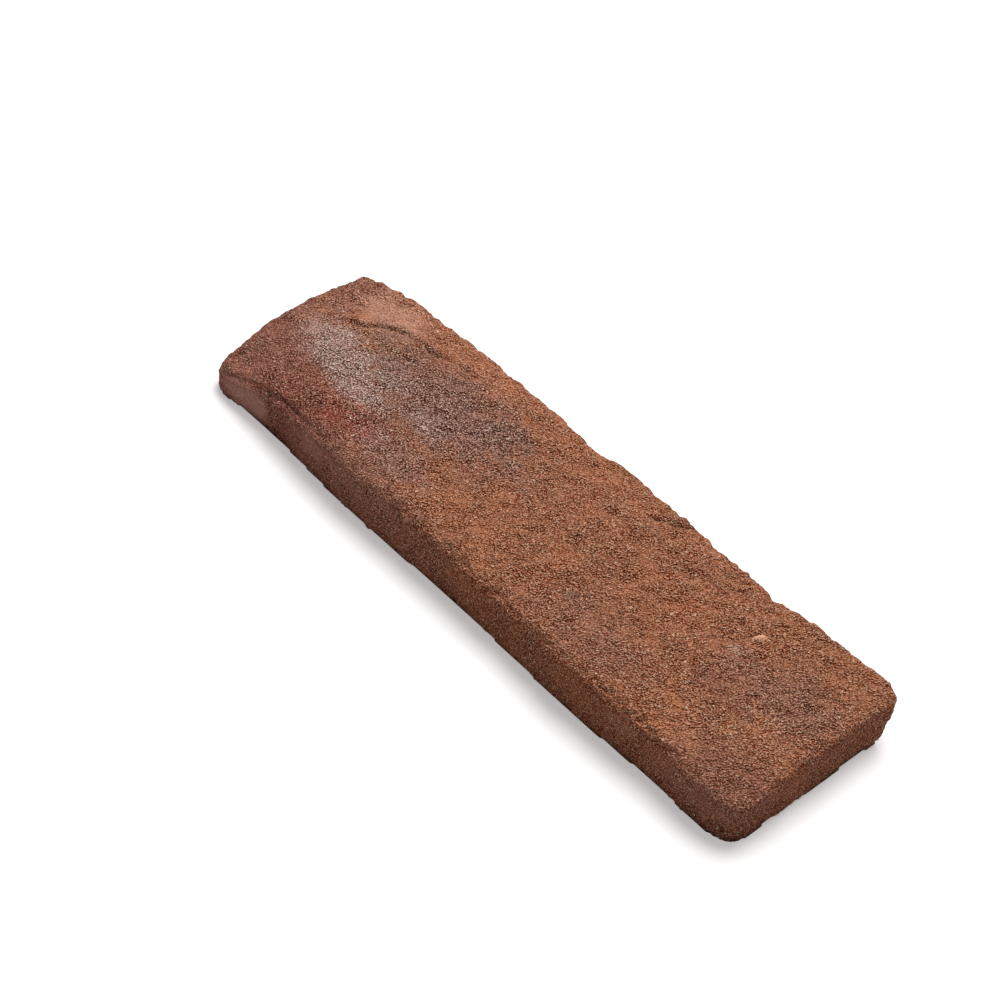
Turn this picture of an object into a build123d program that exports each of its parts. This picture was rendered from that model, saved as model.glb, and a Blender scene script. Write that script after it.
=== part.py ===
from build123d import *
import os
from math import cos, exp, radians, sin

# Brick slip: the sanded face of a hand-moulded clay brick, sawn off as a thin facing.
# It lies on its sawn back with the face up: X along it, Y across it, Z through its thickness.

# Overall size in mm
length = 215.0
width = 64.0
thickness = 17.0

# How far the worn edges stand in from the fullest line, as (share of the length or width, mm)
front_waves = (
    (-0.42, 2.3), (-0.35, 2.1), (-0.26, 0.9), (-0.12, 0.4), (-0.02, 1.2), (0.06, 1.0), (0.15, 0.4),
    (0.25, 0.0), (0.41, 0.8),
)
near_waves = ((-0.32, 0.3), (-0.15, 0.5), (0.02, 0.3), (0.18, 0.4), (0.32, 0.4))
back_waves = (
    (0.42, 0.3), (0.38, 0.9), (0.34, 0.9), (0.294, 2.9), (0.255, 1.8), (0.19, 1.5), (0.12, 0.2),
    (0.06, 0.8), (0.015, 0.5), (-0.03, 2.1), (-0.07, 1.6), (-0.13, 0.5), (-0.22, 0.5), (-0.32, 0.9),
    (-0.41, 1.5),
)
far_waves = ((0.27, 0.4), (0.12, 0.1), (-0.05, 0.0), (-0.20, 0.0), (-0.32, 0.2))

# Corners worn round in plan: radius, and how far each stands in from the length and the width
near_front_corner = (6.0, 0.4, 1.2)
near_back_corner = (4.6, 0.0, 0.2)
far_back_corner = (6.0, 1.0, 3.7)
far_front_corner = (5.2, 0.1, 1.5)

# Rounding of the moulded arris between the face and the sides
arris_radius = 3.2

# The face falls from its crown towards the sides and the ends
side_fall = 1.0
end_fall = 0.9

# Swells and hollows of the face, as (x share, y share, spread along and across as shares, mm high)
swells = (
    (-0.50, -0.54, 0.102, 0.29, -8.0),
    (-0.30, 0.34, 0.079, 0.14, 0.6),
    (-0.13, -0.10, 0.112, 0.19, -0.7),
    (0.08, 0.26, 0.102, 0.16, 0.4),
    (0.10, -0.30, 0.093, 0.14, -0.5),
    (0.28, 0.06, 0.065, 0.19, -0.9),
    (0.40, -0.22, 0.060, 0.19, 0.5),
    (0.49, -0.46, 0.084, 0.19, -2.4),
)

# The corner broken off under the face, at the near end of the back side
break_height = 11.0
break_inset = 1.6
break_run_along = 1.2
break_run_across = 2.2

# Spacing of the face's grid along and across, and how far it runs past the edges
spacing_along = 8.7
spacing_across = 7.6
overhang = 6.0


def face_height(x, y):
    height = thickness - side_fall * (2 * y / width) ** 2 - end_fall * (2 * x / length) ** 6
    for x_share, y_share, spread_along, spread_across, rise in swells:
        away_along = (x / length - x_share) / spread_along
        away_across = (y / width - y_share) / spread_across
        height += rise * exp(-(away_along**2) - away_across**2)
    return height


def grid_steps(half, spacing):
    steps = round(2 * half / spacing)
    return [half * (2 * i / steps - 1) for i in range(steps + 1)]


def long_edge(towards_y, waves):
    return [(x * length, towards_y * (width / 2 - inset)) for x, inset in waves]


def end_edge(towards_x, waves):
    return [(towards_x * (length / 2 - inset), y * width) for y, inset in waves]


def worn_corner(towards_x, towards_y, start_angle, corner):
    radius, in_from_end, in_from_side = corner
    centre_x = towards_x * (length / 2 - in_from_end - radius)
    centre_y = towards_y * (width / 2 - in_from_side - radius)
    turns = [radians(start_angle + turn) for turn in (10, 45, 80)]
    return [(centre_x + radius * cos(turn), centre_y + radius * sin(turn)) for turn in turns]


# The sculpted face as one smooth surface, a little larger than the slip
sanded_face = Face.make_surface_from_array_of_points(
    [
        [(x, y, face_height(x, y)) for y in grid_steps(width / 2 + overhang, spacing_across)]
        for x in grid_steps(length / 2 + overhang, spacing_along)
    ]
)

# The plane of the broken corner leans back under the face
break_plane = Plane(
    origin=(length / 2 - break_inset, width / 2 - break_inset, break_height),
    z_dir=(break_run_along, break_run_across, -1),
)

with BuildPart() as brick_slip:
    # Outline in plan: one smooth curve round the four worn edges and corners
    with BuildSketch(Plane.XY):
        with BuildLine():
            Spline(
                *long_edge(-1, front_waves),
                *worn_corner(1, -1, 270, near_front_corner),
                *end_edge(1, near_waves),
                *worn_corner(1, 1, 0, near_back_corner),
                *long_edge(1, back_waves),
                *worn_corner(-1, 1, 90, far_back_corner),
                *end_edge(-1, far_waves),
                *worn_corner(-1, -1, 180, far_front_corner),
                periodic=True,
            )
        make_face()
    extrude(amount=thickness + overhang)
    # Moulded face, the soft arris round it, and the broken corner
    split(bisect_by=sanded_face, keep=Keep.BOTTOM)
    fillet(brick_slip.faces().sort_by(Axis.Z)[-1].edges(), radius=arris_radius)
    split(bisect_by=break_plane, keep=Keep.BOTTOM)

brick_slip.part.label = "brick_slip"
os.makedirs("parts", exist_ok=True)
export_step(brick_slip.part, "parts/brick_slip.step")
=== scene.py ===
import math

import bmesh
import bpy
import numpy as np
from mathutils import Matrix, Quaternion, Vector, noise


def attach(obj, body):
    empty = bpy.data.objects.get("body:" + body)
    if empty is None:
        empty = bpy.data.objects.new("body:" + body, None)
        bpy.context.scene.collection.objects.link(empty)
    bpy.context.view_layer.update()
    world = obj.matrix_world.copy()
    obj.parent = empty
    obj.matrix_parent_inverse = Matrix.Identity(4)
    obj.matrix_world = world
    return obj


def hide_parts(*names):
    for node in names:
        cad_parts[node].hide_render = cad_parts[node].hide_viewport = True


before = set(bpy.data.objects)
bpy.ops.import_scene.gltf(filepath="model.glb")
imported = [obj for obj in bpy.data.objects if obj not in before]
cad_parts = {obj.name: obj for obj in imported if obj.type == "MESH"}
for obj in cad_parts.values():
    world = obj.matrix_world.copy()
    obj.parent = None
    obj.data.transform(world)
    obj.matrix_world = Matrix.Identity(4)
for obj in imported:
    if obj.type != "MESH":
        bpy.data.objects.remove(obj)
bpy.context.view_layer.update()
mm = 0.001

# The slip's body. Each kind of relief: size in mm, height in mm, octaves, seed
slipBody = {
    "name": "sandedSlip",
    "node": "brick_slip",
    "slot": "fired_clay",
    "joinWithin": 0.001,  # mm: points closer than this are one
    "meshStep": 0.52,  # mm between points
    "backBelow": 0.01,  # mm: the sawn back lies under this height and faces straight down
    "backFacing": -0.99,
    "keptShare": 0.66,  # of the points, once the flat back is thinned out
    "swell": (15.0, 0.55, 3, 1),
    "lumps": (4.6, 0.90, 3, 2),
    "ripples": (2.8, 0.70, 2, 3),
    "grit": (1.15, 0.30, 1, 4),
    "crumbs": (2.4, 1.0, 2, 5),
    "crumbReach": 2.5,  # mm up the sides that the lower edge is crumbly
    "crumbMore": 0.1,
    "wander": ((2.4, 0.8, 2, 6), (2.4, 0.8, 2, 7)),  # how far the marks stray from their lines, both ways
    "seedShift": 31.7,
    "rippleTurn": 48.0,  # the ripples run across the slip at this angle
    "rippleStretch": 2.0,
    "edgeShare": 0.35,  # of the lumps and ripples is left on the sides
    "sunk": 0.12,  # mm that the whole relief lies in
    "proud": 0.35,  # mm that a lump may stand out
    "faceFacing": (0.35, 0.4),  # how far a point faces up before it is face, and how softly that starts
    "sawnFacing": (0.5, 0.3),  # the same downwards
    "frontFacing": (0.3, 0.3),  # and forwards
}


def bakeModifiers(piece):
    graph = bpy.context.evaluated_depsgraph_get()
    piece.data = bpy.data.meshes.new_from_object(piece.evaluated_get(graph))
    piece.modifiers.clear()


def evenCopy(settings):
    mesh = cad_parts[settings["node"]].data.copy()
    bm = bmesh.new()
    bm.from_mesh(mesh)
    bmesh.ops.remove_doubles(bm, verts=bm.verts, dist=settings["joinWithin"] * mm)
    bm.to_mesh(mesh)
    bm.free()
    mesh.materials.clear()
    piece = bpy.data.objects.new(settings["name"], mesh)
    bpy.context.scene.collection.objects.link(piece)
    remesh = piece.modifiers.new("evenMesh", "REMESH")
    remesh.mode = "VOXEL"
    remesh.voxel_size = settings["meshStep"] * mm
    remesh.use_smooth_shade = True
    bakeModifiers(piece)

    # the sawn back is flat, so it needs few points
    back = piece.vertex_groups.new(name="sawnBack")
    below, facing = settings["backBelow"] * mm, settings["backFacing"]
    flat = [v.index for v in piece.data.vertices if v.co.z < below and v.normal.z < facing]
    back.add(flat, 1.0, "REPLACE")
    thin = piece.modifiers.new("thinBack", "DECIMATE")
    thin.ratio = settings["keptShare"]
    thin.vertex_group = back.name
    bakeModifiers(piece)
    piece.vertex_groups.clear()
    piece.data.name = settings["name"]
    return piece


slip = evenCopy(slipBody)
slip.data.calc_loop_triangles()
print("even mesh:", len(slip.data.vertices), "points,", len(slip.data.loop_triangles), "triangles")

# The fold where the clay lapped over, in mm from the middle of the slip
fold = {
    "route": ((-97, 3.5), (-92, 6.2), (-88, 8.6), (-85.5, 11), (-82, 14.6), (-78, 16.9), (-72, 17.4),
              (-66, 17.9), (-60, 18.8), (-52, 20.4), (-44, 20.6)),
    "half": 0.42,
    "depth": 0.8,
    # how dark the painted shade along the fold line is
    "paintedShade": 0.65,
    "rise": 0.95,  # height of the lip behind the line
    "reach": 8.0,  # mm over which the lip falls back to the face
    "startsOver": 6.0,
    "fadeFrom": -62.0,
    "fadeTo": -44.0,
}
# Smaller creases: where they run, half width and depth in mm, how dark the painted shade in them is
faceCreases = (
    (((21.5, 22.8), (25, 24.2), (28, 26), (30.2, 28.4), (31.8, 31.5)), 0.7, 1.3, 0.8),
    (((-14, 18), (-8, 19.2), (-3.5, 21.4), (0.5, 25), (2.5, 28)), 0.8, 0.7, 0.35),
    (((53.8, 20), (57.4, 24)), 0.7, 0.65, 0.8),
    (((42.8, 23.4), (46.4, 22.8)), 0.6, 0.45, 0.6),
    (((61.5, 14.8), (67, 14.3)), 0.6, 0.4, 0.5),
    (((68.8, 10.6), (69.3, 14), (70.2, 16.8)), 0.6, 0.5, 0.8),
    (((69.8, -4.6), (70.8, -8), (71.8, -11.8)), 0.7, 0.6, 0.7),
    (((51.4, -10.2), (52.4, -9.8)), 0.7, 0.6, 0.6),
    (((-66, -18.8), (-62, -17.2), (-58, -15.4), (-51, -13)), 0.6, 0.55, 0.7),
    (((-28, -13.6), (-24, -13.4), (-19, -12.2)), 0.6, 0.45, 0.6),
    (((-17.5, -0.5), (-13.5, 2), (-10, 5.6)), 0.7, 0.45, 0.4),
    (((-94.6, 14.2), (-93.2, 16)), 1.0, 0.6, 0.7),
    (((56.5, -30), (61, -29.2)), 0.6, 0.5, 0.6),
    (((84, -2), (87, 1.5), (88.5, 6)), 0.7, 0.4, 0.25),
)
sideCreases = (  # on the front side: along and up
    (((-82.5, 12), (-81, 8), (-80.2, 4), (-78, 0)), 0.8, 0.9, 0.55),
    (((-26, 15.5), (-23, 13.5), (-21, 12)), 0.9, 0.7, 0.7),
    (((-53.5, 13), (-52, 9)), 0.8, 0.4, 0.4),
)
pebble = {
    "at": (71.6, 13.8),
    "half": (2.3, 1.0),
    "turn": 58,
    "rise": 0.9,
    "base": 0.1,
    "edge": 3,  # how sharply it ends
    "quiet": 0.9,  # how much of the grain is gone on it
}
# Smooth clay without sand: middle, reach in mm, how much of the grain is gone
quietPatches = (
    ((-92.0, -29.0, 5.0), (11.0, 6.0, 5.0), 0.9),
    ((-60.0, -31.0, 10.0), (6.5, 3.0, 3.5), 0.6),
    ((93.0, -30.0, 9.0), (14.0, 4.0, 5.0), 0.35),
    ((97.0, -24.0, 14.0), (16.0, 11.0, 8.0), 0.32),
    ((66.0, -32.0, 10.0), (6.0, 3.0, 3.0), 0.45),
    ((-84.0, 18.0, 16.0), (11.0, 7.5, 6.0), 0.5),
    ((-100.0, -12.0, 14.0), (12.0, 22.0, 9.0), 0.30),
    ((-52.0, -30.0, 14.0), (30.0, 4.0, 5.0), 0.30),
)
patchFade = (1.4, 0.7)  # in shares of its reach: where a patch ends, and how softly
# The front arris is worn rounder from here towards the far end, in mm
softArris = {"from": -48.0, "to": -72.0, "depth": 1.5, "elsewhere": 0.55}


def lumpsAt(points, lump, stretch=1.0, turn=0.0):
    size, height, octaves, seed = lump
    side, rise = math.cos(math.radians(turn)), math.sin(math.radians(turn))
    along = (points[:, 0] * side + points[:, 1] * rise) / (size * stretch)
    across = (points[:, 1] * side - points[:, 0] * rise) / size
    up = points[:, 2] / size
    shift = slipBody["seedShift"] * seed
    values = [noise.fractal((a + shift, b - shift, c + 2 * shift), 1.0, 2.0, octaves)
              for a, b, c in zip(along, across, up)]
    return height * np.array(values)


def awayFromRoute(x, y, route):
    # how far each point lies from the line, and on which side of it
    away = np.full(len(x), 1e9)
    side = np.zeros(len(x))
    for (x0, y0), (x1, y1) in zip(route, route[1:]):
        dx, dy = x1 - x0, y1 - y0
        share = np.clip(((x - x0) * dx + (y - y0) * dy) / (dx * dx + dy * dy), 0, 1)
        now = np.hypot(x - x0 - share * dx, y - y0 - share * dy)
        side = np.where(now < away, np.sign(dx * (y - y0) - dy * (x - x0)), side)
        away = np.minimum(away, now)
    return away, side


def pointsAndNormals(mesh):
    found = []
    for name in ("co", "normal"):
        values = np.empty(len(mesh.vertices) * 3)
        mesh.vertices.foreach_get(name, values)
        found.append(values.reshape(-1, 3))
    return found[0] / mm, found[1]


def facingShare(facing, limits):
    start, span = limits
    return np.clip((facing - start) / span, 0, 1)


def pebbleShare(x, y):
    turn = math.radians(pebble["turn"])
    fromX, fromY = x - pebble["at"][0], y - pebble["at"][1]
    along = (fromX * math.cos(turn) + fromY * math.sin(turn)) / pebble["half"][0]
    across = (fromY * math.cos(turn) - fromX * math.sin(turn)) / pebble["half"][1]
    return np.clip(1 - along**2 - across**2, 0, 1)


def quietShare(points, stone):
    quiet = np.clip(stone * pebble["edge"], 0, pebble["quiet"])
    end, span = patchFade
    for middle, reach, share in quietPatches:
        away = np.sqrt((((points - middle) / reach) ** 2).sum(axis=1))
        quiet = np.maximum(quiet, share * np.clip((end - away) / span, 0, 1))
    return quiet


def cutMarks(rise, points, face, front, wander):
    # the fold with its lip, then the creases; they also give each point its painted shade, darkest along
    # the fold line and in the creases
    x, y, z = points.T
    wanderX, wanderY = wander
    away, side = awayFromRoute(x + wanderX, y + wanderY, fold["route"])
    fade = np.clip((fold["fadeTo"] - x) / (fold["fadeTo"] - fold["fadeFrom"]), 0, 1)
    fade *= np.clip((x - fold["route"][0][0]) / fold["startsOver"], 0, 1) * face
    line = fade * np.clip(1 - away / (2 * fold["half"]), 0, 1)
    rise += fade * fold["rise"] * np.where(side > 0, np.exp(-away / fold["reach"]), 0)
    rise -= fold["depth"] * line
    paintedShade = fold["paintedShade"] * line
    overArris = np.clip(face * 2, 0, 1)
    for creases, u, v, where in ((faceCreases, x, y, overArris), (sideCreases, x, z, front)):
        for route, half, depth, shade in creases:
            away = awayFromRoute(u + wanderX, v + wanderY, route)[0]
            cut = where * np.clip(1 - away / (2 * half), 0, 1)
            rise -= depth * cut
            paintedShade = np.maximum(paintedShade, shade * cut)
    return rise, paintedShade


def mouldedRelief(piece, settings):
    mesh = piece.data
    points, normals = pointsAndNormals(mesh)
    x, y, z = points.T
    face = facingShare(normals[:, 2], settings["faceFacing"])
    sawn = facingShare(-normals[:, 2], settings["sawnFacing"])
    front = facingShare(-normals[:, 1], settings["frontFacing"])
    stone = pebbleShare(x, y) * face
    quiet = quietShare(points, stone)
    loud = (1 - sawn) * (1 - quiet)
    lumpy = loud * (settings["edgeShare"] + (1 - settings["edgeShare"]) * face)

    rise = (1 - sawn) * (lumpsAt(points, settings["swell"]) - settings["sunk"])
    rise += loud * lumpsAt(points, settings["grit"])
    rise += lumpy * lumpsAt(points, settings["lumps"])
    rise += lumpy * lumpsAt(points, settings["ripples"], settings["rippleStretch"], settings["rippleTurn"])
    wander = [lumpsAt(points, stray) for stray in settings["wander"]]
    rise, paintedShade = cutMarks(rise, points, face, front, wander)

    worn = np.clip((softArris["from"] - x) / (softArris["from"] - softArris["to"]), 0, 1)
    worn = softArris["elsewhere"] + (softArris["depth"] - softArris["elsewhere"]) * worn
    rise -= worn * np.clip(-2 * normals[:, 1] * normals[:, 2], 0, 1)

    raised = np.maximum(rise, pebble["base"]) + pebble["rise"] * np.sqrt(stone)
    rise = np.where(stone > 0, raised, rise)

    low = np.clip(1 - z / settings["crumbReach"], 0, 1) * (1 - sawn) * (1 - quiet)
    rise -= low * np.clip(lumpsAt(points, settings["crumbs"]) + settings["crumbMore"], 0, 1)

    rise = np.where(stone > 0, rise, np.minimum(rise, settings["proud"]))
    points = points + normals * (rise * (1 - sawn))[:, None]
    points[:, 2] = np.maximum(points[:, 2], 0)
    mesh.vertices.foreach_set("co", (points * mm).ravel())
    pebbleMask = np.clip(stone * pebble["edge"], 0, 1)
    # the painted shade of the fold line and the creases is kept as a mark for the shader
    for name, values in (("faceShare", face), ("sawnShare", sawn), ("paintedCreaseShade", paintedShade),
                         ("quietClay", quiet), ("pebbleMask", pebbleMask)):
        layer = mesh.attributes.new(name, "FLOAT", "POINT")
        layer.data.foreach_set("value", values.astype(np.float32))
    mesh.update()


mouldedRelief(slip, slipBody)
print("relief done")

# Colours of the clay, linear
clay = {
    "orange": (0.51, 0.190, 0.087),
    "brown": (0.40, 0.150, 0.077),
    "side": (0.265, 0.080, 0.038),
    # pale sand, partly a painted highlight on the grain tops
    "sandAndHighlight": (1.0, 0.56, 0.365),
    "paleSand": (1.0, 0.76, 0.63),
    # a few pale grains, with a painted glint on their tops
    "paleGrainGlint": (1.0, 0.80, 0.64),
    # painted shade in the grain's hollows and in the creases
    "hollowShade": (0.085, 0.026, 0.014),
    # painted shade in the gaps between the grains
    "gapShadeTint": (0.44, 0.13, 0.055),
    "quiet": (0.34, 0.185, 0.145),
    "pebble": (0.85, 0.43, 0.25),
    "sawn": (0.30, 0.115, 0.070),
}
# How the clay is mixed. Noise: scale per mm, detail, roughness. Ranges: from, to, and what they become
clayMix = {
    "mottle": (0.09, 5, 0.65),  # brown to orange
    "mottleRange": (0.38, 0.62),
    "sideShare": 0.7,  # of the sides' darker, redder colour
    "ragged": (0.16, 6, 0.7),  # the edges of the stains
    "raggedRange": (0.25, 0.75, -0.55, 0.55),
    "patchy": (0.14, 4, 0.6),  # more and less grain from place to place
    "patchyRange": (0.35, 0.65, 0.55, 1.1),
    "sandRange": (0.35, 0.62),  # pale sand on the grains: on the sides, on the face
    "paleRange": (0.62, 1.1),  # share of sand at which it turns pale
    "quietGrain": 0.15,  # what smooth clay keeps of the grain
    "quietShare": 0.6,  # of its own colour on smooth clay
    # how strong the painted glint on the pale grains is
    "paleGrainGlintShare": 0.85,
    # where the painted shade of hollows and creases starts, and where it is full
    "hollowShadeRange": (0.35, 0.85, 0.0, 0.9),
    "roughness": 0.85,
    "specular": 0.06,
}
# The sand's grain, with painted shade in its gaps and painted highlights on its tops. Scales per mm; limits
# on the grain's height, from 0 to 1
grain = {
    "turn": -53.0,  # the grains lie a little longer in the direction the clay was struck off
    "stretch": (0.86, 1.04, 1.0),
    "relief": 2.2,
    "grit": 3.3,
    "cells": 2.6,
    "gapShade": (0.49, 0.39),  # where the painted shade between the grains starts, and where it is full
    # pale sand on the grain tops, partly a painted highlight: where it starts, and where it is full
    "peakSandAndHighlight": (0.51, 0.59),
    "paleGrainGlint": (0.88, 0.94),  # few grains are pale, with a painted glint on their tops
    "tone": (0.74, 1.36),  # darkest and lightest grain
    "bump": 1.9,  # mm
}
stainEdge = (1.3, 0.55)  # in shares of its half size: where a stain ends, and where it is full
# Name, middle and half size in mm, turn, colour, how strong, how much more or less pale sand
stains = (
    ("midOrange", (-12, -8), (26, 22), 0, (0.50, 0.19, 0.09), 0.6, 0.0),
    ("backOrange", (-38, 26), (66, 7.5), 0, (0.55, 0.215, 0.105), 0.85, 0.0),
    ("endRed", (-93, -16), (21, 22), -8, (0.285, 0.098, 0.082), 0.85, -0.05),
    ("endBrown", (-102, 17), (10, 14), 0, (0.30, 0.125, 0.10), 0.7, 0.0),
    ("lip", (-84, 19.5), (13, 7.5), 12, (0.68, 0.325, 0.22), 0.9, 0.1),
    ("olive", (-76, 10), (10, 7), 10, (0.27, 0.145, 0.10), 0.6, 0.1),
    ("kilnGrey", (-45, 5), (34, 15), 0, (0.25, 0.123, 0.107), 0.85, 0.15),
    ("lowerGrey", (-40, -20), (15, 8), -5, (0.27, 0.135, 0.115), 0.7, 0.25),
    ("kilnDark", (-25, 11), (8, 8), 0, (0.15, 0.085, 0.075), 0.45, 0.0),
    ("bloomLeft", (-85, -2.5), (14, 8.5), -12, (0.50, 0.31, 0.255), 0.8, 0.65),
    ("bloomMiddle", (-67, -9.5), (13, 8), -20, (0.44, 0.28, 0.24), 0.75, 0.65),
    ("bloomYellow", (-72, -4), (5, 3.5), 0, (0.44, 0.31, 0.19), 0.4, 0.3),
    ("paleGrey", (-61, 0), (7, 6), 0, (0.37, 0.255, 0.24), 0.5, 0.3),
    ("paleSpots", (-41, -3), (7, 5), 0, (0.42, 0.27, 0.235), 0.5, 0.3),
    ("paleLow", (-49, -18), (5, 5), 0, (0.38, 0.25, 0.225), 0.55, 0.4),
    ("redBand", (-77, -22), (16, 9), 0, (0.285, 0.090, 0.070), 0.85, -0.05),
    ("fireRed", (-61, -20), (16, 7), 12, (0.33, 0.078, 0.058), 1.0, -0.15),
    ("oliveDark", (-71, -21), (5, 4), 0, (0.17, 0.085, 0.06), 0.5, 0.0),
    ("redLow", (-72, -29.5), (32, 5.5), 0, (0.26, 0.083, 0.057), 0.85, -0.1),
    # painted light: the sloping facet at the far end of the front side is painted paler, as if lit
    ("facetPaintedLight", (-89, -33.5), (9, 4), 0, (0.55, 0.32, 0.26), 0.85, 0.0),
    ("frontDull", (-33, -29), (32, 4.5), 0, (0.30, 0.12, 0.083), 0.7, 0.0),
    ("dull", (43, -20), (20, 9), 0, (0.32, 0.15, 0.105), 0.5, 0.0),
    ("greyNear", (91, 3), (13, 12), 20, (0.25, 0.125, 0.10), 0.55, 0.1),
    ("purpleNear", (73, -1), (6, 8), 0, (0.26, 0.115, 0.09), 0.45, 0.0),
    ("nearRed", (102, -27), (17, 10), 20, (0.26, 0.088, 0.054), 0.8, -0.05),
    # painted shadow in the diagonal crease near the back edge
    ("paintedCreaseShadow", (27, 27.5), (5.0, 2.6), 40, (0.22, 0.115, 0.075), 0.4, 0.0),
    ("spotOrange", (92, -6), (2.6, 1.8), 0, (0.62, 0.27, 0.10), 0.8, 0.1),
    ("spotOrangeLow", (86, -16), (3.0, 2.2), 0, (0.60, 0.25, 0.10), 0.7, 0.1),
    ("spotPale", (70.6, 6.4), (2.2, 2.0), 0, (0.58, 0.34, 0.22), 0.7, 0.3),
    ("spotGrey", (29.5, -15), (2.2, 2.0), 0, (0.17, 0.12, 0.105), 0.55, 0.0),
    ("spotGreyBack", (12.5, 15), (2.2, 1.8), 0, (0.36, 0.21, 0.16), 0.3, 0.2),
)


def newGroup(name, inputs, outputs):
    group = bpy.data.node_groups.new(name, "ShaderNodeTree")
    for socketName, kind in inputs:
        group.interface.new_socket(socketName, in_out="INPUT", socket_type="NodeSocket" + kind)
    for socketName, kind in outputs:
        group.interface.new_socket(socketName, in_out="OUTPUT", socket_type="NodeSocket" + kind)
    return group, group.nodes.new("NodeGroupInput").outputs, group.nodes.new("NodeGroupOutput").inputs


def plug(tree, socket, value):
    if isinstance(value, bpy.types.NodeSocket):
        tree.links.new(value, socket)
    elif isinstance(value, tuple) and socket.type == "RGBA":
        socket.default_value = (*value, 1)
    else:
        socket.default_value = value


def addMath(tree, kind, *values):
    node = tree.nodes.new("ShaderNodeMath")
    node.operation = kind
    for socket, value in zip(node.inputs, values):
        plug(tree, socket, value)
    return node.outputs[0]


def addVector(tree, kind, *values):
    node = tree.nodes.new("ShaderNodeVectorMath")
    node.operation = kind
    for socket, value in zip(node.inputs, values):
        plug(tree, socket, value)
    return node.outputs["Value" if kind == "LENGTH" else "Vector"]


def addMix(tree, share, first, second, kind="MIX"):
    # sockets 6 and 7 take the two colours, and 2 gives the mixed one
    node = tree.nodes.new("ShaderNodeMix")
    node.data_type = "RGBA"
    node.blend_type = kind
    plug(tree, node.inputs["Factor"], share)
    plug(tree, node.inputs[6], first)
    plug(tree, node.inputs[7], second)
    return node.outputs[2]


def addNoise(tree, vector, scale, detail=2.0, roughness=0.5):
    node = tree.nodes.new("ShaderNodeTexNoise")
    node.inputs["Scale"].default_value = scale
    node.inputs["Detail"].default_value = detail
    node.inputs["Roughness"].default_value = roughness
    tree.links.new(vector, node.inputs["Vector"])
    return node.outputs["Fac"]


def addCells(tree, vector, scale):
    # a random colour for each cell, split in its three parts
    node = tree.nodes.new("ShaderNodeTexVoronoi")
    node.inputs["Scale"].default_value = scale
    tree.links.new(vector, node.inputs["Vector"])
    split = tree.nodes.new("ShaderNodeSeparateColor")
    tree.links.new(node.outputs["Color"], split.inputs[0])
    return split.outputs


def addRange(tree, value, low, high, outLow=0.0, outHigh=1.0):
    node = tree.nodes.new("ShaderNodeMapRange")
    limits = {"Value": value, "From Min": low, "From Max": high, "To Min": outLow, "To Max": outHigh}
    for name, limit in limits.items():
        plug(tree, node.inputs[name], limit)
    return node.outputs["Result"]


def stainGroup():
    group, taken, given = newGroup(
        "clayStain",
        (("Vector", "Vector"), ("Ragged", "Float"), ("Middle", "Vector"), ("Turn", "Float"),
         ("Half Size", "Vector")),
        (("Mask", "Float"),))
    offset = addVector(group, "SUBTRACT", taken["Vector"], taken["Middle"])
    turn = group.nodes.new("ShaderNodeVectorRotate")
    turn.rotation_type = "Z_AXIS"
    plug(group, turn.inputs["Vector"], offset)
    plug(group, turn.inputs["Angle"], taken["Turn"])
    shrunk = addVector(group, "DIVIDE", turn.outputs[0], taken["Half Size"])
    away = addVector(group, "LENGTH", addVector(group, "MULTIPLY", shrunk, (1, 1, 0)))
    spread = addMath(group, "ADD", away, taken["Ragged"])
    plug(group, given["Mask"], addRange(group, spread, *stainEdge))
    return group


def grainGroup():
    group, taken, given = newGroup(
        "sandGrainAndPaintedShading",
        (("Vector", "Vector"),),
        (("Height", "Float"), ("Gap Shade", "Float"), ("Peak Sand And Highlight", "Float"), ("Random", "Float"), ("Pale Grain Glint", "Float")))
    turn = group.nodes.new("ShaderNodeVectorRotate")
    turn.rotation_type = "Z_AXIS"
    plug(group, turn.inputs["Vector"], taken["Vector"])
    plug(group, turn.inputs["Angle"], math.radians(grain["turn"]))
    vector = addVector(group, "MULTIPLY", turn.outputs[0], grain["stretch"])
    relief = addNoise(group, vector, grain["relief"], detail=0)
    grit = addNoise(group, vector, grain["grit"], detail=0)
    cells = addCells(group, vector, grain["cells"])
    mixed = addMath(group, "MULTIPLY_ADD", relief, 0.5, addMath(group, "MULTIPLY", grit, 0.5))
    plug(group, given["Height"], relief)
    # besides the real relief and tone: painted shade in the low gaps, pale sand with a painted highlight on
    # the high tops, a painted glint on a few pale grains
    plug(group, given["Gap Shade"], addRange(group, mixed, *grain["gapShade"]))
    plug(group, given["Peak Sand And Highlight"], addRange(group, mixed, *grain["peakSandAndHighlight"]))
    plug(group, given["Random"], cells[0])
    plug(group, given["Pale Grain Glint"], addRange(group, cells[1], *grain["paleGrainGlint"]))
    return group


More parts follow.
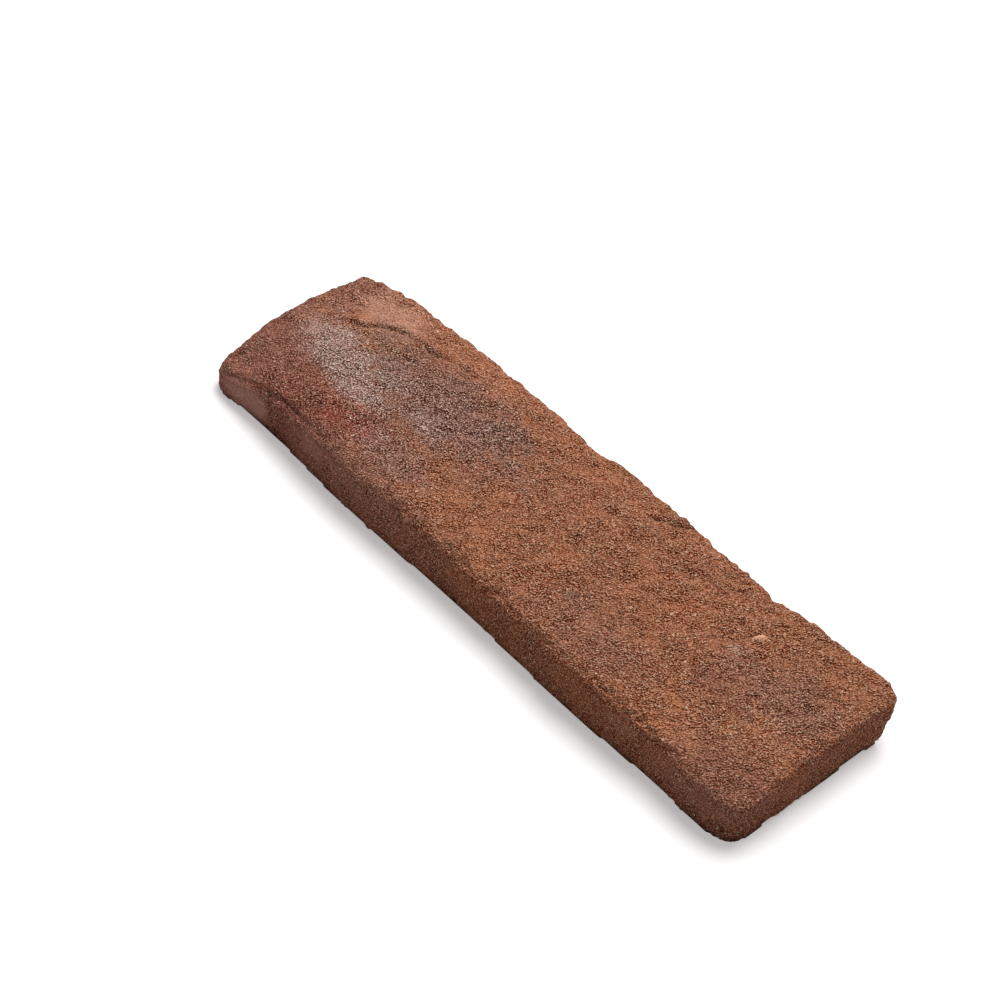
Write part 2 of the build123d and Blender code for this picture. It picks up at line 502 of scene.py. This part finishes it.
def sandedClay():
    material = bpy.data.materials.new("sandedClay")
    material.use_nodes = True
    tree = material.node_tree
    nodes, links = tree.nodes, tree.links
    shader = nodes["Principled BSDF"]
    place = nodes.new("ShaderNodeTexCoord")
    inMm = nodes.new("ShaderNodeMapping")
    inMm.inputs["Scale"].default_value = (1 / mm,) * 3
    links.new(place.outputs["Object"], inMm.inputs["Vector"])
    vector = inMm.outputs[0]
    marks = {}
    for name in ("faceShare", "sawnShare", "paintedCreaseShade", "quietClay", "pebbleMask"):
        node = nodes.new("ShaderNodeAttribute")
        node.attribute_name = name
        marks[name] = node.outputs["Fac"]

    mottle = addRange(tree, addNoise(tree, vector, *clayMix["mottle"]), *clayMix["mottleRange"])
    colour = addMix(tree, mottle, clay["brown"], clay["orange"])
    offFace = addMath(tree, "SUBTRACT", 1.0, marks["faceShare"])
    colour = addMix(tree, addMath(tree, "MULTIPLY", offFace, clayMix["sideShare"]), colour, clay["side"])
    ragged = addRange(tree, addNoise(tree, vector, *clayMix["ragged"]), *clayMix["raggedRange"])
    blotch = stainGroup()
    sandShare = addRange(tree, marks["faceShare"], 0, 1, *clayMix["sandRange"])
    for name, middle, half, turn, tint, strength, dusting in stains:
        node = nodes.new("ShaderNodeGroup")
        node.node_tree = blotch
        node.label = name
        plug(tree, node.inputs["Middle"], (*middle, 0))
        plug(tree, node.inputs["Turn"], math.radians(-turn))
        plug(tree, node.inputs["Half Size"], (*half, 1))
        links.new(vector, node.inputs["Vector"])
        links.new(ragged, node.inputs["Ragged"])
        mask = addMath(tree, "MULTIPLY", node.outputs["Mask"], strength)
        colour = addMix(tree, mask, colour, tint)
        if dusting:
            sandShare = addMath(tree, "MULTIPLY_ADD", mask, dusting, sandShare)

    grains = nodes.new("ShaderNodeGroup")
    grains.node_tree = grainGroup()
    links.new(vector, grains.inputs["Vector"])
    height, gapShade, peakSandAndHighlight, random, paleGrainGlint = grains.outputs
    patchy = addRange(tree, addNoise(tree, vector, *clayMix["patchy"]), *clayMix["patchyRange"])
    loud = addRange(tree, marks["quietClay"], 0, 1, 1, clayMix["quietGrain"])
    loud = addMath(tree, "MULTIPLY", loud, patchy)
    quiet = addMath(tree, "MULTIPLY", marks["quietClay"], clayMix["quietShare"])
    colour = addMix(tree, quiet, colour, clay["quiet"])
    colour = addMix(tree, loud, colour, addRange(tree, random, 0, 1, *grain["tone"]), "MULTIPLY")
    # painted shade in the low gaps between the grains
    colour = addMix(tree, addMath(tree, "MULTIPLY", gapShade, loud), colour, clay["gapShadeTint"], "MULTIPLY")

    # pale sand on the peaks, partly a painted highlight; a painted glint on a few pale grains; then painted
    # shade in the grain's hollows and in the creases
    sandAndHighlight = addMix(tree, addRange(tree, sandShare, *clayMix["paleRange"]), clay["sandAndHighlight"], clay["paleSand"])
    # pale sand and a painted highlight on the high tops of the grain
    sandAndHighlightShare = addMath(tree, "MULTIPLY", peakSandAndHighlight, addMath(tree, "MULTIPLY", loud, sandShare))
    colour = addMix(tree, sandAndHighlightShare, colour, sandAndHighlight)
    # a painted glint on the tops of a few pale grains
    grainGlint = addMath(tree, "MULTIPLY", addMath(tree, "MULTIPLY", paleGrainGlint, peakSandAndHighlight), loud)
    grainGlint = addMath(tree, "MULTIPLY", grainGlint, clayMix["paleGrainGlintShare"])
    colour = addMix(tree, grainGlint, colour, clay["paleGrainGlint"])
    # painted shade: darker where the grain is low and in the creases
    hollowAndCreaseShade = addMath(tree, "ADD", addMath(tree, "SUBTRACT", 0.5, height), marks["paintedCreaseShade"])
    colour = addMix(tree, addRange(tree, hollowAndCreaseShade, *clayMix["hollowShadeRange"]), colour, clay["hollowShade"])
    colour = addMix(tree, marks["sawnShare"], colour, clay["sawn"])
    colour = addMix(tree, marks["pebbleMask"], colour, clay["pebble"])
    links.new(colour, shader.inputs["Base Color"])

    bump = nodes.new("ShaderNodeBump")
    bump.inputs["Distance"].default_value = grain["bump"] * mm
    bump.inputs["Strength"].default_value = 1.0
    links.new(addMath(tree, "MULTIPLY", height, loud), bump.inputs["Height"])
    links.new(bump.outputs[0], shader.inputs["Normal"])
    shader.inputs["Roughness"].default_value = clayMix["roughness"]
    shader.inputs["Specular IOR Level"].default_value = clayMix["specular"]
    return material


slip.data.materials.append(sandedClay())
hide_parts(slipBody["node"])
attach(slip, "root")
print("clay done")

# Studio: white floor that keeps the shadow, one broad light high above the slip
studio = {
    "floorHalf": 3.0,
    "floorColour": (0.95, 0.945, 0.94),
    "floorGlow": 0.31,
    "glowGrows": (0.4, 1.4),  # m from the middle over which the floor turns fully white
    "worldStrength": 0.23,
    "lamp": (-0.26, 0.60, 1.23),
    "lampAim": (0, 0, 0),
    "lampSize": 0.95,
    "lampWatts": 17.8,
}


def seenRay(tree):
    # 1 for what the camera sees, also mirrored or through glass
    path = tree.nodes.new("ShaderNodeLightPath").outputs
    mirrored = addMath(tree, "MAXIMUM", path["Is Glossy Ray"], path["Is Transmission Ray"])
    return addMath(tree, "MAXIMUM", path["Is Camera Ray"], mirrored)


def studioFloor(settings):
    bm = bmesh.new()
    bmesh.ops.create_grid(bm, x_segments=1, y_segments=1, size=settings["floorHalf"])
    mesh = bpy.data.meshes.new("studioFloor")
    bm.to_mesh(mesh)
    bm.free()
    floor = bpy.data.objects.new("studioFloor", mesh)
    bpy.context.scene.collection.objects.link(floor)
    material = bpy.data.materials.new("studioFloor")
    material.use_nodes = True
    tree = material.node_tree
    shader = tree.nodes["Principled BSDF"]
    plug(tree, shader.inputs["Base Color"], settings["floorColour"])
    plug(tree, shader.inputs["Roughness"], 1.0)
    plug(tree, shader.inputs["Specular IOR Level"], 0.0)
    plug(tree, shader.inputs["Emission Color"], (1.0, 1.0, 1.0))
    # far off, where the lamp is weak, the floor glows until it is white
    place = tree.nodes.new("ShaderNodeTexCoord")
    away = addVector(tree, "LENGTH", place.outputs["Object"])
    glow = addRange(tree, away, *settings["glowGrows"], settings["floorGlow"], 1.0)
    plug(tree, shader.inputs["Emission Strength"], addMath(tree, "MULTIPLY", seenRay(tree), glow))
    mesh.materials.append(material)


def studioLight(settings):
    lamp = bpy.data.lights.new("softLamp", "AREA")
    lamp.shape = "DISK"
    lamp.size = settings["lampSize"]
    lamp.energy = settings["lampWatts"]
    holder = bpy.data.objects.new("softLamp", lamp)
    bpy.context.scene.collection.objects.link(holder)
    holder.location = settings["lamp"]
    away = Vector(settings["lamp"]) - Vector(settings["lampAim"])
    holder.rotation_euler = away.to_track_quat("Z", "Y").to_euler()
    world = bpy.data.worlds.new("studio")
    world.use_nodes = True
    tree = world.node_tree
    plug(tree, tree.nodes["Background"].inputs["Color"], (1.0, 1.0, 1.0))
    plug(tree, tree.nodes["Background"].inputs["Strength"],
         addRange(tree, seenRay(tree), 0, 1, settings["worldStrength"], 1.0))
    bpy.context.scene.world = world
    bpy.context.scene.view_settings.view_transform = "Standard"


studioFloor(studio)
studioLight(studio)
print("studio done")

# The photograph's view
view = {
    "from": (0.29342, -0.32420, 0.44902),
    "at": (-0.01915, 0.00547, 0.0),
    "roll": 6.86,
    "lens": 81.0,
    "sensor": 36,
}


def photoCamera(settings):
    data = bpy.data.cameras.new("photoCamera")
    data.sensor_width = settings["sensor"]
    data.lens = settings["lens"]
    camera = bpy.data.objects.new("photoCamera", data)
    bpy.context.scene.collection.objects.link(camera)
    camera.location = settings["from"]
    back = Vector(settings["from"]) - Vector(settings["at"])
    turn = back.to_track_quat("Z", "Y") @ Quaternion((0, 0, 1), math.radians(settings["roll"]))
    camera.rotation_euler = turn.to_euler()
    bpy.context.scene.camera = camera


photoCamera(view)
print("camera done")
